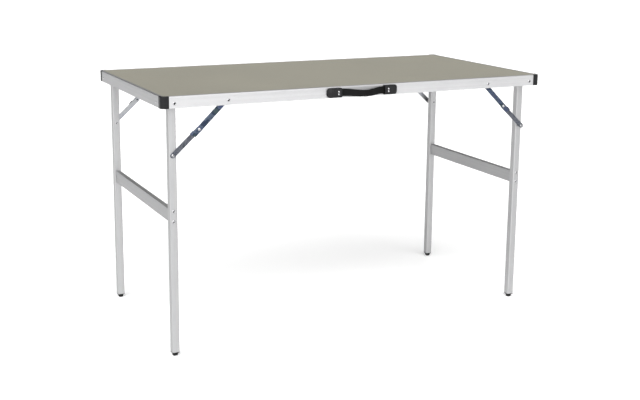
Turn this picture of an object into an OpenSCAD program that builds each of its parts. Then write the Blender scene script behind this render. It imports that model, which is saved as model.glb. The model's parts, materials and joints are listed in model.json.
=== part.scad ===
// Folding camping table: a framed panel on two H-shaped leg frames that fold
// flat under the top, one inside the other, each held open by two jointed stays.
// X runs along the length, Y from front to rear, Z up. Millimetres.
// The origin is on the floor, under the middle of the whole outline.

/* [Table top] */
// Length over the corner caps
top_length = 1200; // [1000:10:1400]
// Depth over the corner caps
top_depth = 600; // [500:10:700]
// Height of the top of the corner caps above the floor
table_height = 720; // [650:5:760]
// Height of the corner caps, which is the height of the top's edge
edge_height = 33; // [33:1:36]

/* [Rails] */
// Thickness of the rail's aluminium wall
rail_wall = 1.6; // [1.2:0.1:2]
// Width of the lip that holds the panel down
lip_width = 7.5; // [6:0.5:10]
// How far in the shelf under the panel reaches
shelf_reach = 13; // [10:1:14]
// Radius of the rounded bead along the top edge
bead_r = 2.4; // [2:0.1:2.8]
// Depth of the shadow groove under the bead
groove_depth = 0.5; // [0.3:0.1:0.8]

/* [Panel] */
// Thickness of the laminate on top
laminate_t = 1; // [0.8:0.1:1.2]
// Thickness of the core board
core_t = 4.9; // [4:0.1:5.2]
// Thickness of the sheet under the core
underside_t = 0.8; // [0.6:0.1:1]

/* [Corner caps] */
// Length of each arm of a cap, measured from the corner
cap_arm = 22; // [18:1:24]
// Radius of the rounded corner
cap_round = 12; // [8:1:16]
// How far the caps stand proud of the rails
cap_proud = 1; // [0.5:0.5:1.5]
// Wall thickness of a cap
cap_wall = 3; // [2:0.5:4]

/* [Leg frames] */
// Side of the square leg tube
tube = 21; // [20:0.5:22]
// Radius of the tube's corners
tube_round = 3; // [2:0.5:4]
// Wall thickness of the tubes
tube_wall = 1.5; // [1.2:0.1:2]
// Gap between the end of the top and the outer faces of the legs
leg_end_inset = 26; // [24:1:32]
// Gap between the front of the top and the left legs
left_leg_inset = 23; // [23:1:30]
// How much further in the right legs stand, so that they fold inside the left ones
nest_step = 22; // [22:1:26]
// Height of a foot below its tube
foot_height = 11; // [8:1:16]
// Height of a crossbar's section
crossbar_height = 37; // [30:1:50]
// Thickness of a crossbar's section
crossbar_t = 13; // [12:1:20]
// Height of a crossbar's middle above the floor
crossbar_z = 393; // [300:5:450]
// Distance between the two rivets at each end of a crossbar
crossbar_rivet_pitch = 28; // [20:1:30]

/* [Hinges] */
// Height of the hinge pins above the lower edge of the top
pin_rise = 13; // [13:0.5:14]
// Radius of a hinge pin
hinge_pin_r = 3; // [2.5:0.1:3.5]
// Radius of a stay's pins
stay_pin_r = 2.5; // [2:0.1:2.8]
// Radial play of a pin in its hole
pin_play = 0.05; // [0.02:0.01:0.09]

/* [Stays] */
// Distance along the rail from the leg hinge to the stay's pin
stay_rail_reach = 150; // [140:1:170]
// Distance down the leg from the leg hinge to the stay's rivet
stay_leg_drop = 141; // [132:1:160]
// How far the open knee lies past the straight line between the stay's ends
knee_past_centre = 1.6; // [1:0.1:2]
// Half the width of the flanged upper link
upper_half_w = 7.2; // [6.8:0.1:8]
// Half the width of the flat lower link
lower_half_w = 6.9; // [6:0.1:7]
// Length of the upper link that reaches past the knee
knee_overlap = 27; // [20:1:28]

/* [Handle] */
// Place of the handle's middle along the front rail
handle_x = -14; // [-100:1:100]
// Length over both handle caps
handle_length = 222; // [180:1:260]
// Length of one handle cap
handle_cap_length = 43; // [36:1:50]
// Height of the handle caps
handle_cap_height = 27; // [26:0.5:30]
// How far the handle caps stand out from the rail
handle_cap_proud = 13.5; // [13:0.5:15]
// Height of the strap
strap_height = 22; // [18:0.5:22]
// Thickness of the strap
strap_t = 3.6; // [3:0.1:4]
// How far the middle of the strap bows out from its ends
strap_bow = 20.5; // [10:0.5:24]

/* [Hidden] */
LEFT = -1;
RIGHT = 1;
FRONT = -1;
REAR = 1;
$fn = 64;
eps = 0.01;

// Colours
aluminium = [0.80, 0.81, 0.82];
zinc = [0.50, 0.53, 0.62];
black_plastic = [0.07, 0.07, 0.075];
strap_black = [0.10, 0.10, 0.105];
taupe = [0.62, 0.61, 0.55];
board_brown = [0.60, 0.50, 0.38];
rivet_steel = [0.86, 0.86, 0.87];

// Fits between pieces of one body
seat_gap = 0.1;
// Gaps between pieces that pass each other
pass_gap = 0.3;

// Heights of the edge: the cap, and the rail inside it
edge_z = table_height - edge_height;
rail_inset = cap_proud;
rail_margin_z = 0.5;
rail_z = edge_z + rail_margin_z;
rail_height = edge_height - 2 * rail_margin_z;
rail_top = rail_z + rail_height;
lip_end = rail_inset + lip_width;
wall_in = rail_inset + rail_wall;
lip_notch = 5.2;
mitre_gap = 0.05;
return_width = 5;
groove_height = 1;
groove_drop = 7;

// The panel lies between the shelf and the lip, and the laminate between the lips
laminate_edge = lip_end + pass_gap;
core_top = rail_top - rail_wall;
laminate_top = core_top + laminate_t;
core_edge = rail_inset + 2 * bead_r + 0.6;
underside_top = core_top - core_t;
underside_z = underside_top - underside_t;
underside_edge = wall_in + 0.6;
shelf_t = 1.4;
shelf_top = underside_z;
rail_end_gap = cap_arm + seat_gap;

// Tongues of the corner caps inside the rails, and the rivets through the longer ones
corner_rivet_in = 44;
tongue_t = 2.7;
tongue_z = rail_z + rail_wall + 1.5;
tongue_height = shelf_top - shelf_t - 1 - tongue_z;
short_tongue_end = 30;
long_tongue_end = corner_rivet_in + 8;

// Rivet heads
head_t = 1.5;
head_r = 4.6;
tail_t = 1.4;
tail_r = 4.2;
small_head_r = 3.2;
small_shank_r = 2;
crossbar_head_t = 1.2;

// Leg hinges, as distances from the end and the front of the top
hinge_end = leg_end_inset + tube / 2;
hinge_x = top_length / 2 - hinge_end;
pin_z = edge_z + pin_rise;
leg_rise = 4;
function leg_inset(side) = side == LEFT ? left_leg_inset : left_leg_inset + nest_step;

// Crossbar rivets run through the leg into a plug in the crossbar's end
crossbar_levels = [-crossbar_rivet_pitch / 2, crossbar_rivet_pitch / 2];
plug_depth = 20;
crossbar_rivet_length = tube + plug_depth / 2;

// Stay planes, as distances from the front of the top: the flat lower link lies just
// outside the left legs, and a collar on each right leg stands its link off
link_t = 2;
web_t = 1.8;
web_gap = 2.4;
flange_t = 1.2;
stay_flange_h = 2;
web_slant = 5;
lug_length = 12;
lug_end_gap = 1;
collar_length = 12;
collar_r = 5;
function lower_in(side) = leg_inset(side) - 0.4 - (side == LEFT ? 0 : collar_length);
function lower_out(side) = lower_in(side) - link_t;
function web_in(side) = lower_out(side) - web_gap;
function web_out(side) = web_in(side) - web_t;

// The stay's geometry: its ends, and link lengths that let it fold flat along the rail
chord = norm([stay_rail_reach, stay_leg_drop]);
fold_gap = stay_rail_reach - stay_leg_drop;
link_sum = sqrt(pow(chord, 2)
    + pow(2 * knee_past_centre * chord, 2) / (pow(chord, 2) - pow(fold_gap, 2)));
upper_length = (link_sum + fold_gap) / 2;
lower_length = (link_sum - fold_gap) / 2;
chord_angle = atan2(-stay_leg_drop, -stay_rail_reach);
upper_angle = chord_angle + asin(knee_past_centre / upper_length);
lower_angle = chord_angle - asin(knee_past_centre / lower_length);
knee = [stay_rail_reach + upper_length * cos(upper_angle), upper_length * sin(upper_angle)];
lug_half_w = lower_half_w + knee_overlap * sin(upper_angle - lower_angle) + seat_gap + flange_t;

// Handle: the strap's outermost point sets how far the whole outline reaches forward
strap_seat = 4.5;
handle_reach = strap_seat + strap_bow + strap_t / 2 - rail_inset;
rivet_reach = head_t - rail_inset;
table_y = (handle_reach - rivet_reach) / 2;
handle_z = edge_z + edge_height / 2 - 0.5;
handle_wall = 2.5;
handle_round = 6;
handle_rivet_in = 11;
handle_rivet_pitch = 7;
handle_rivet_r = 1.6;
handle_rivet_head_r = 2.7;
cap_inner_x = handle_length / 2 - handle_cap_length;
strap_slot_length = 16;
strap_end_in = 30;
strap_steps = 32;

// Holes through the long rails, each as [x, radius, z]
pin_holes = [
    for (side = [LEFT, RIGHT])
        for (hole = [[hinge_x, hinge_pin_r], [hinge_x - stay_rail_reach, stay_pin_r]])
            [side * hole[0], hole[1] + pin_play, pin_z]
];
handle_holes = [
    for (end = [LEFT, RIGHT], level = [-1, 1])
        [
            handle_x + end * (handle_length / 2 - handle_cap_length + handle_rivet_in),
            handle_rivet_r + pin_play,
            handle_z + level * handle_rivet_pitch / 2
        ]
];

// ---------- shared shapes ----------

// Places children given as: X from the leg hinge towards the middle, Y in from the
// front of the top, Z up. The children are mirrored for the right side and the rear.
module at_corner(side, row)
    translate([0, table_y, 0])
        mirror([side == RIGHT ? 1 : 0, 0, 0])
            mirror([0, row == REAR ? 1 : 0, 0])
                translate([-hinge_x, -top_depth / 2, 0])
                    children();

// Places children given from the corner of the top
module from_corner(side, row)
    at_corner(side, row)
        translate([-hinge_end, 0, 0])
            children();

module both_rows(side)
    for (row = [FRONT, REAR])
        at_corner(side, row) children();

// A round bar along Y from y0 to y1
module bar_y(r, y0, y1, x = 0, z = 0)
    translate([x, y0, z])
        rotate([-90, 0, 0])
            cylinder(r = r, h = y1 - y0);

// A chamfered rivet head: its flat side at y0, and its smaller face towards y1
module head_y(r, y0, y1, x = 0, z = 0)
    translate([x, y0, z])
        rotate([y1 > y0 ? -90 : 90, 0, 0])
            cylinder(r1 = r, r2 = r * 0.72, h = abs(y1 - y0));

// A rectangle centred on the origin with true round corners
module rounded_rect(w, h, r) {
    square([w - 2 * r, h], center = true);
    square([w, h - 2 * r], center = true);
    for (x = [-1, 1], y = [-1, 1])
        translate([x * (w / 2 - r), y * (h / 2 - r)])
            circle(r = r);
}

module hollow_rect(w, h, r, wall)
    difference() {
        rounded_rect(w, h, r);
        rounded_rect(w - 2 * wall, h - 2 * wall, max(r - wall, 0.5));
    }

// ---------- top ----------

// A sheet of the top, whose corners follow the round of the corner caps
module sheet(edge, z, t, colour)
    color(colour)
        translate([0, table_y, z])
            linear_extrude(height = t)
                rounded_rect(top_length - 2 * edge, top_depth - 2 * edge, cap_round - edge);

module top_laminate() sheet(laminate_edge, laminate_top - laminate_t, laminate_t, taupe);
module core_board() sheet(core_edge, underside_top, core_t, board_brown);
module underside_sheet() sheet(underside_edge, underside_z, underside_t, aluminium);

// The rail's section: X is the distance in from the edge of the top, Y is the height
module rail_section()
    difference() {
        union() {
            translate([rail_inset, rail_z])
                square([rail_wall, rail_height - bead_r]);
            translate([rail_inset + bead_r, rail_top - bead_r])
                circle(r = bead_r);
            translate([rail_inset + bead_r, rail_top - rail_wall])
                square([lip_width - bead_r, rail_wall]);
            translate([rail_inset, shelf_top - shelf_t])
                square([shelf_reach, shelf_t]);
            translate([rail_inset, rail_z])
                square([return_width, rail_wall]);
        }
        translate([rail_inset - eps, rail_top - groove_drop])
            square([groove_depth + eps, groove_height]);
    }

// A rail along X whose outer face looks towards -Y, with its length centred on X = 0.
// Past the notch for the corner cap, the inner strip of its lip runs on to the mitre.
module rail(run) {
    half = run / 2 + rail_end_gap;
    color(aluminium) {
        rotate([90, 0, 90])
            translate([0, 0, -run / 2])
                linear_extrude(height = run)
                    rail_section();
        translate([0, 0, rail_top - rail_wall])
            linear_extrude(height = rail_wall)
                polygon([
                    [-half + lip_notch + mitre_gap, lip_notch],
                    [half - lip_notch - mitre_gap, lip_notch],
                    [half - lip_end - mitre_gap, lip_end],
                    [-half + lip_end + mitre_gap, lip_end]
                ]);
    }
}

module long_rail(row, holes)
    translate([0, table_y, 0])
        mirror([0, row == REAR ? 1 : 0, 0])
            difference() {
                translate([0, -top_depth / 2, 0])
                    rail(top_length - 2 * rail_end_gap);
                for (hole = holes)
                    bar_y(hole[1], -top_depth / 2, wall_in + eps - top_depth / 2, hole[0], hole[2]);
            }

module end_rail(side)
    translate([0, table_y, 0])
        difference() {
            rotate([0, 0, side == LEFT ? -90 : 90])
                translate([0, -top_length / 2, 0])
                    rail(top_depth - 2 * rail_end_gap);
            for (row = [FRONT, REAR])
                translate([
                    side * (top_length / 2 - rail_inset - rail_wall / 2),
                    row * (top_depth / 2 - corner_rivet_in),
                    pin_z
                ])
                    rotate([0, 90, 0])
                        cylinder(r = small_shank_r + pin_play, h = 4 * rail_wall, center = true);
        }

module front_rail() long_rail(FRONT, concat(pin_holes, handle_holes));
module rear_rail() long_rail(REAR, pin_holes);

// ---------- corner caps ----------

// A square corner of the given size with its outer corner rounded, inset by a margin
module corner_outline(size, margin) {
    translate([cap_round, cap_round])
        intersection() {
            circle(r = cap_round - margin);
            translate([-cap_round, -cap_round])
                square(cap_round);
        }
    translate([cap_round, margin])
        square([size - cap_round, size - margin]);
    translate([margin, cap_round])
        square([size - margin, size - cap_round]);
}

module corner_cap(side, row)
    color(black_plastic)
        from_corner(side, row) {
            // outer wall
            translate([0, 0, edge_z])
                linear_extrude(height = edge_height)
                    difference() {
                        corner_outline(cap_arm, 0);
                        corner_outline(cap_arm + 1, cap_wall);
                    }
            // top cover up to the mitred lips
            translate([0, 0, rail_top - rail_wall])
                linear_extrude(height = rail_wall + rail_margin_z)
                    difference() {
                        corner_outline(cap_arm, 0);
                        translate([lip_notch - seat_gap, lip_notch - seat_gap])
                            square(cap_arm);
                    }
            // tongues inside the two rails
            translate([cap_round, wall_in + seat_gap, tongue_z])
                cube([short_tongue_end - cap_round, tongue_t, tongue_height]);
            difference() {
                translate([wall_in + seat_gap, cap_round, tongue_z])
                    cube([tongue_t, long_tongue_end - cap_round, tongue_height]);
                translate([wall_in - 1, corner_rivet_in, pin_z])
                    rotate([0, 90, 0])
                        cylinder(r = small_shank_r + pin_play, h = 3 * tongue_t);
            }
        }

module corner_rivets()
    color(rivet_steel)
        for (side = [LEFT, RIGHT], row = [FRONT, REAR])
            from_corner(side, row)
                translate([rail_inset, corner_rivet_in, pin_z])
                    rotate([0, 90, 0]) {
                        cylinder(r = small_shank_r, h = rail_wall + tongue_t + 1);
                        translate([0, 0, -rail_inset])
                            cylinder(r1 = small_head_r * 0.72, r2 = small_head_r, h = rail_inset);
                    }

// ---------- hinge and stay pins, fixed in the long rails ----------

module hinge_pins(side) {
    tail = leg_inset(side) + tube + pass_gap;
    color(rivet_steel)
        both_rows(side) {
            head_y(head_r, rail_inset, rail_inset - head_t, 0, pin_z);
            bar_y(hinge_pin_r, rail_inset - eps, tail + eps, 0, pin_z);
            head_y(head_r, tail, tail + tail_t, 0, pin_z);
        }
}

module stay_pins(side) {
    tail = web_in(side) + seat_gap;
    color(rivet_steel)
        both_rows(side) {
            head_y(tail_r, rail_inset, rail_inset - head_t, stay_rail_reach, pin_z);
            bar_y(stay_pin_r, rail_inset - eps, tail + eps, stay_rail_reach, pin_z);
            head_y(tail_r, tail, tail + tail_t, stay_rail_reach, pin_z);
        }
}

// A tube round a pin that keeps a moving piece off the rail
module bushes(side, x, pin_r, end)
    color(rivet_steel)
        both_rows(side)
            difference() {
                bar_y(pin_r + 3, wall_in, end, x, pin_z);
                bar_y(pin_r + pin_play, wall_in - 1, end + 1, x, pin_z);
            }

module hinge_bushes(side) bushes(side, 0, hinge_pin_r, leg_inset(side) - pass_gap);
module stay_bushes(side) bushes(side, stay_rail_reach, stay_pin_r, web_out(side) - seat_gap);

// ---------- leg frames ----------

module leg(side, row) {
    inset = leg_inset(side);
    color(aluminium)
        at_corner(side, row)
            difference() {
                translate([0, inset + tube / 2, foot_height])
                    linear_extrude(height = pin_z + leg_rise - foot_height)
                        hollow_rect(tube, tube, tube_round, tube_wall);
                bar_y(hinge_pin_r + pin_play, inset - 1, inset + tube + 1, 0, pin_z);
                bar_y(stay_pin_r + pin_play, inset - 1, inset + tube + 1, 0, pin_z - stay_leg_drop);
                for (level = crossbar_levels)
                    bar_y(small_shank_r + pin_play, inset - 1, inset + tube + 1,
                        0, crossbar_z + level);
            }
}

// The plug in the tube's upper end carries the hinge pin
module leg_plugs(side) {
    inset = leg_inset(side);
    plug = tube - 2 * tube_wall - 2 * seat_gap;
    plug_length = 16;
    rim = 18;
    color(black_plastic)
        both_rows(side)
            difference() {
                translate([0, inset + tube / 2, pin_z + leg_rise]) {
                    translate([0, 0, -plug_length])
                        linear_extrude(height = plug_length)
                            rounded_rect(plug, plug, tube_round - tube_wall);
                    linear_extrude(height = 0.8)
                        rounded_rect(rim, rim, tube_round);
                }
                bar_y(hinge_pin_r + pin_play, inset, inset + tube, 0, pin_z);
            }
}

// A plug with a slim flange and a tapered foot with a flat sole
module foot(side, row) {
    plug = tube - 2 * tube_wall - 2 * seat_gap;
    flange_h = 2;
    color(black_plastic)
        at_corner(side, row)
            translate([0, leg_inset(side) + tube / 2, 0]) {
                rotate_extrude()
                    polygon([
                        [0, 0], [6.2, 0], [7.6, 1.2], [9.6, foot_height - flange_h],
                        [0, foot_height - flange_h]
                    ]);
                translate([0, 0, foot_height - flange_h])
                    linear_extrude(height = flange_h)
                        rounded_rect(tube, tube, tube_round);
                translate([0, 0, foot_height])
                    linear_extrude(height = plug_depth)
                        rounded_rect(plug, plug, tube_round - tube_wall);
            }
}

// Runs children along Y between the inner faces of a frame's legs
module between_legs(side, gap, run)
    translate([side * hinge_x, table_y, crossbar_z])
        for (row = run)
            mirror([0, row == REAR ? 1 : 0, 0])
                translate([0, leg_inset(side) + tube + gap - top_depth / 2, 0])
                    rotate([-90, 0, 0])
                        children();

module crossbar(side)
    color(aluminium)
        between_legs(side, seat_gap, [FRONT])
            linear_extrude(height = top_depth - 2 * (leg_inset(side) + tube + seat_gap))
                hollow_rect(crossbar_t, crossbar_height, 2, tube_wall);

module crossbar_plugs(side)
    color(black_plastic)
        between_legs(side, 2 * seat_gap, [FRONT, REAR])
            difference() {
                linear_extrude(height = plug_depth)
                    rounded_rect(
                        crossbar_t - 2 * tube_wall - 2 * seat_gap,
                        crossbar_height - 2 * tube_wall - 2 * seat_gap, 0.5);
                for (level = crossbar_levels)
                    translate([0, level, -1])
                        cylinder(r = small_shank_r + pin_play, h = plug_depth + 2);
            }

module crossbar_rivets(side) {
    inset = leg_inset(side);
    color(rivet_steel)
        both_rows(side)
            for (level = crossbar_levels) {
                head_y(head_r, inset, inset - crossbar_head_t, 0, crossbar_z + level);
                bar_y(small_shank_r, inset - eps, inset + crossbar_rivet_length,
                    0, crossbar_z + level);
            }
}

// The leg's own half of the stay's lower pivot: shank and tail, with a collar on the right
module stay_anchors(side) {
    inset = leg_inset(side);
    z = pin_z - stay_leg_drop;
    color(rivet_steel)
        both_rows(side) {
            bar_y(stay_pin_r, inset, inset + tube + eps, 0, z);
            head_y(tail_r, inset + tube, inset + tube + tail_t, 0, z);
            if (side == RIGHT)
                bar_y(collar_r, lower_in(side) + pass_gap, inset, 0, z);
        }
}

// ---------- stays ----------

// Places a link's flat outline, drawn from its pivot along +X with +Y on the side away
// from the leg's corner, at a pivot and angle in the plane at depth y
module link_plane(side, row, pivot, angle, y, t)
    at_corner(side, row)
        translate([pivot[0], y + t, pin_z + pivot[1]])
            rotate([90, 0, 0])
                rotate([0, 0, angle])
                    linear_extrude(height = t)
                        children();

// The upper link's web: its far end is cut at a slant past the knee, and an ear on the edge
// nearest the leg's corner carries the stop lug
module upper_outline() {
    reach = upper_length + knee_overlap;
    circle(r = upper_half_w);
    polygon([
        [0, -upper_half_w], [reach, -upper_half_w],
        [reach - web_slant, upper_half_w], [0, upper_half_w]
    ]);
    lug_strip(lug_half_w);
}

// The part of the ear that lies within a width of its outer edge
module lug_strip(width)
    translate([upper_length + knee_overlap - lug_end_gap - lug_length, -lug_half_w])
        square([lug_length, width]);

module lower_outline() {
    for (x = [0, lower_length])
        translate([x, 0])
            circle(r = lower_half_w);
    translate([0, -lower_half_w])
        square([lower_length, 2 * lower_half_w]);
}

module upper_link(side, row)
    color(zinc) {
        difference() {
            link_plane(side, row, [stay_rail_reach, 0], upper_angle, web_out(side), web_t)
                upper_outline();
            at_corner(side, row) {
                bar_y(stay_pin_r + pin_play, web_out(side) - 1, web_in(side) + 1,
                    stay_rail_reach, pin_z);
                bar_y(stay_pin_r + pin_play, web_out(side) - 1, web_in(side) + 1,
                    knee[0], pin_z + knee[1]);
            }
        }
        // a shallow flange stiffens the edge nearest the leg's corner, and the lug beyond the
        // knee meets the lower link's edge when the stay is open
        link_plane(side, row, [stay_rail_reach, 0], upper_angle, web_in(side) - eps, stay_flange_h)
            translate([upper_half_w, -upper_half_w])
                square([upper_length + knee_overlap - upper_half_w, flange_t]);
        link_plane(side, row, [stay_rail_reach, 0], upper_angle,
                web_in(side) - eps, lower_in(side) - 2 * seat_gap - web_in(side))
            lug_strip(flange_t);
    }

module knee_rivet(side, row)
    color(rivet_steel)
        at_corner(side, row) {
            x = knee[0];
            z = pin_z + knee[1];
            head_y(tail_r, web_out(side), web_out(side) - tail_t, x, z);
            bar_y(stay_pin_r, web_out(side) - eps, lower_in(side), x, z);
            bar_y(stay_pin_r + 1.5, web_in(side), lower_out(side) - seat_gap, x, z);
        }

module lower_link(side, row)
    color(zinc)
        difference() {
            link_plane(side, row, knee, lower_angle, lower_out(side), link_t)
                lower_outline();
            at_corner(side, row) {
                bar_y(stay_pin_r + pin_play, lower_out(side) - 1, lower_in(side) + 1,
                    knee[0], pin_z + knee[1]);
                bar_y(stay_pin_r + pin_play, lower_out(side) - 1, lower_in(side) + 1,
                    0, pin_z - stay_leg_drop);
            }
        }

module end_rivet(side, row)
    color(rivet_steel)
        at_corner(side, row) {
            z = pin_z - stay_leg_drop;
            head_y(tail_r, lower_out(side), lower_out(side) - head_t, 0, z);
            bar_y(stay_pin_r, lower_out(side) - eps, lower_in(side), 0, z);
        }

// ---------- handle ----------

// Places children given as: X from the handle's middle, Y outwards from the rail's face
module at_handle()
    translate([handle_x, table_y - top_depth / 2 + rail_inset, handle_z])
        mirror([0, 1, 0])
            children();

// A hollow shell with a rounded outer end, open towards the middle and at the rail
module handle_cap(end)
    color(black_plastic)
        at_handle()
            mirror([end == LEFT ? 1 : 0, 0, 0])
                translate([cap_inner_x, 0, 0])
                    difference() {
                        intersection() {
                            translate([0, 0, -handle_cap_height / 2])
                                linear_extrude(height = handle_cap_height) {
                                    reach = handle_cap_length - handle_cap_proud;
                                    square([reach, handle_cap_proud]);
                                    translate([reach, 0])
                                        intersection() {
                                            circle(r = handle_cap_proud);
                                            square(handle_cap_proud);
                                        }
                                }
                            rotate([-90, 0, 0])
                                linear_extrude(height = handle_cap_proud)
                                    union() {
                                        translate([0, -handle_cap_height / 2])
                                            square([handle_cap_length / 2, handle_cap_height]);
                                        translate([handle_cap_length / 2, 0])
                                            rounded_rect(handle_cap_length,
                                                handle_cap_height, handle_round);
                                    }
                        }
                        translate([-1, -1, eps - strap_height / 2 - 0.6])
                            cube([
                                strap_end_in + 3,
                                handle_cap_proud - handle_wall + 1,
                                strap_height + 1.2
                            ]);
                        for (level = [-1, 1])
                            bar_y(handle_rivet_r + pin_play, 0, handle_cap_proud + 1,
                                handle_rivet_in, level * handle_rivet_pitch / 2);
                    }

module handle_rivets()
    color(rivet_steel)
        at_handle()
            for (end = [LEFT, RIGHT], level = [-1, 1]) {
                x = end * (cap_inner_x + handle_rivet_in);
                z = level * handle_rivet_pitch / 2;
                bar_y(handle_rivet_r, -rail_wall - 0.5, handle_cap_proud + eps, x, z);
                head_y(handle_rivet_head_r, handle_cap_proud, handle_cap_proud + 1, x, z);
            }

// Distance of the strap's middle surface from the rail, at x from the handle's middle
function strap_out(x) =
    strap_seat + (abs(x) < cap_inner_x ? strap_bow * (1 + cos(180 * x / cap_inner_x)) / 2 : 0);

module handle_strap() {
    half = cap_inner_x + strap_end_in;
    xs = concat(
        [-half],
        [for (i = [0 : strap_steps]) cap_inner_x * (2 * i / strap_steps - 1)],
        [half]);
    outer = [for (x = xs) [x, strap_out(x) + strap_t / 2]];
    inner = [for (i = [len(xs) - 1 : -1 : 0]) [xs[i], strap_out(xs[i]) - strap_t / 2]];
    slot_h = handle_rivet_pitch + 2 * handle_rivet_r + 1.5;
    color(strap_black)
        at_handle()
            difference() {
                translate([0, 0, -strap_height / 2])
                    linear_extrude(height = strap_height)
                        polygon(concat(outer, inner));
                for (end = [LEFT, RIGHT])
                    translate([end * (cap_inner_x + handle_rivet_in), strap_seat, 0])
                        cube([strap_slot_length, 4 * strap_t, slot_h], center = true);
            }
}

// ---------- the nodes ----------

top_laminate();
core_board();
underside_sheet();
front_rail();
rear_rail();
end_rail(LEFT);  // left_rail
end_rail(RIGHT);  // right_rail
corner_cap(LEFT, FRONT);  // corner_cap_front_left
corner_cap(RIGHT, FRONT);  // corner_cap_front_right
corner_cap(LEFT, REAR);  // corner_cap_rear_left
corner_cap(RIGHT, REAR);  // corner_cap_rear_right
corner_rivets();
hinge_pins(LEFT);  // left_hinge_pins
hinge_pins(RIGHT);  // right_hinge_pins
hinge_bushes(LEFT);  // left_hinge_bushes
hinge_bushes(RIGHT);  // right_hinge_bushes
stay_pins(LEFT);  // left_stay_pins
stay_pins(RIGHT);  // right_stay_pins
stay_bushes(LEFT);  // left_stay_bushes
stay_bushes(RIGHT);  // right_stay_bushes
handle_cap(LEFT);  // handle_cap_left
handle_cap(RIGHT);  // handle_cap_right
handle_rivets();
handle_strap();
leg(LEFT, FRONT);  // left_leg_front
leg(LEFT, REAR);  // left_leg_rear
crossbar(LEFT);  // left_crossbar
crossbar_plugs(LEFT);  // left_crossbar_plugs
crossbar_rivets(LEFT);  // left_crossbar_rivets
foot(LEFT, FRONT);  // left_foot_front
foot(LEFT, REAR);  // left_foot_rear
leg_plugs(LEFT);  // left_leg_plugs
stay_anchors(LEFT);  // left_stay_anchors
leg(RIGHT, FRONT);  // right_leg_front
leg(RIGHT, REAR);  // right_leg_rear
crossbar(RIGHT);  // right_crossbar
crossbar_plugs(RIGHT);  // right_crossbar_plugs
crossbar_rivets(RIGHT);  // right_crossbar_rivets
foot(RIGHT, FRONT);  // right_foot_front
foot(RIGHT, REAR);  // right_foot_rear
leg_plugs(RIGHT);  // right_leg_plugs
stay_anchors(RIGHT);  // right_stay_anchors
upper_link(LEFT, FRONT);  // left_front_upper_link
knee_rivet(LEFT, FRONT);  // left_front_knee_rivet
lower_link(LEFT, FRONT);  // left_front_lower_link
end_rivet(LEFT, FRONT);  // left_front_end_rivet
upper_link(LEFT, REAR);  // left_rear_upper_link
knee_rivet(LEFT, REAR);  // left_rear_knee_rivet
lower_link(LEFT, REAR);  // left_rear_lower_link
end_rivet(LEFT, REAR);  // left_rear_end_rivet
upper_link(RIGHT, FRONT);  // right_front_upper_link
knee_rivet(RIGHT, FRONT);  // right_front_knee_rivet
lower_link(RIGHT, FRONT);  // right_front_lower_link
end_rivet(RIGHT, FRONT);  // right_front_end_rivet
upper_link(RIGHT, REAR);  // right_rear_upper_link
knee_rivet(RIGHT, REAR);  // right_rear_knee_rivet
lower_link(RIGHT, REAR);  // right_rear_lower_link
end_rivet(RIGHT, REAR);  // right_rear_end_rivet
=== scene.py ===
import json
import math

import bmesh
import bpy
from mathutils import Matrix, Vector


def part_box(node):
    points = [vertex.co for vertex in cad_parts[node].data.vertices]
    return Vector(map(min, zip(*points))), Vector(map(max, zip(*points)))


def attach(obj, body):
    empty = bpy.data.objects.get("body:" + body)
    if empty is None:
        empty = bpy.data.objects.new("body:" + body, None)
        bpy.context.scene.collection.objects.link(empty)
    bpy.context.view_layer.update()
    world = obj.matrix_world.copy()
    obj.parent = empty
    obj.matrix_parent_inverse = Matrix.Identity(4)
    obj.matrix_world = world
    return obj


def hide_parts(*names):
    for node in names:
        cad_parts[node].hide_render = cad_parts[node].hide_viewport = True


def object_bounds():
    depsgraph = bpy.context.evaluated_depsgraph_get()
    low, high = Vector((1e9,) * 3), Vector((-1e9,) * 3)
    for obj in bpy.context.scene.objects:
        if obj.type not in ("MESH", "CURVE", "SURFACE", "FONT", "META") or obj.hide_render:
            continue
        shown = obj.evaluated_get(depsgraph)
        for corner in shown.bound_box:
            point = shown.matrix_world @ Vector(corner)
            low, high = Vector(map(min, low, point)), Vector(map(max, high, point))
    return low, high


# A folding camping table: its looks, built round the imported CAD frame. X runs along
# the table's length, Y from front to rear, Z up, in metres.

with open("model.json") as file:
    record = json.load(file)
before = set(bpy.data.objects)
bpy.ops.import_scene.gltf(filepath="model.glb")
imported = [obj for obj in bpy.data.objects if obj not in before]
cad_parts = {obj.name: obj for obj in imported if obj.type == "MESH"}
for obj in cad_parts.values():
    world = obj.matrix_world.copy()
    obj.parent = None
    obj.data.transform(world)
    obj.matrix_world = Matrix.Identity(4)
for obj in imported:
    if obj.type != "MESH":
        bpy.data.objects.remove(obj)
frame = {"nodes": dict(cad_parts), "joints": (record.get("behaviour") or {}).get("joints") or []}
cad_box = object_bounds()
joints = {joint["name"]: joint for joint in frame["joints"]}

MM = 0.001
X, Y, Z = Vector((1, 0, 0)), Vector((0, 1, 0)), Vector((0, 0, 1))
SIDES = (("left", -1), ("right", 1))
ROWS = (("front", -1), ("rear", 1))

# Gaps between pieces that sit on each other and that move past each other; edge roundings that
# sections share, and their steps where they show most; what counts as one point and as a sharp
# edge; how much of a side a rounding may cut; and how far a sharp corner is held back as it grows
SEAT_GAP = 0.1 * MM
MOVE_GAP = 0.3 * MM
HAIR, SMALL, SOFT = 0.15 * MM, 0.3 * MM, 0.5 * MM
FINE_STEPS = 6
WELD = 1e-7
SHARP_ANGLE = math.radians(32)
CUT_LIMIT = 0.49
MITRE_LIMIT = 0.3

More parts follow.
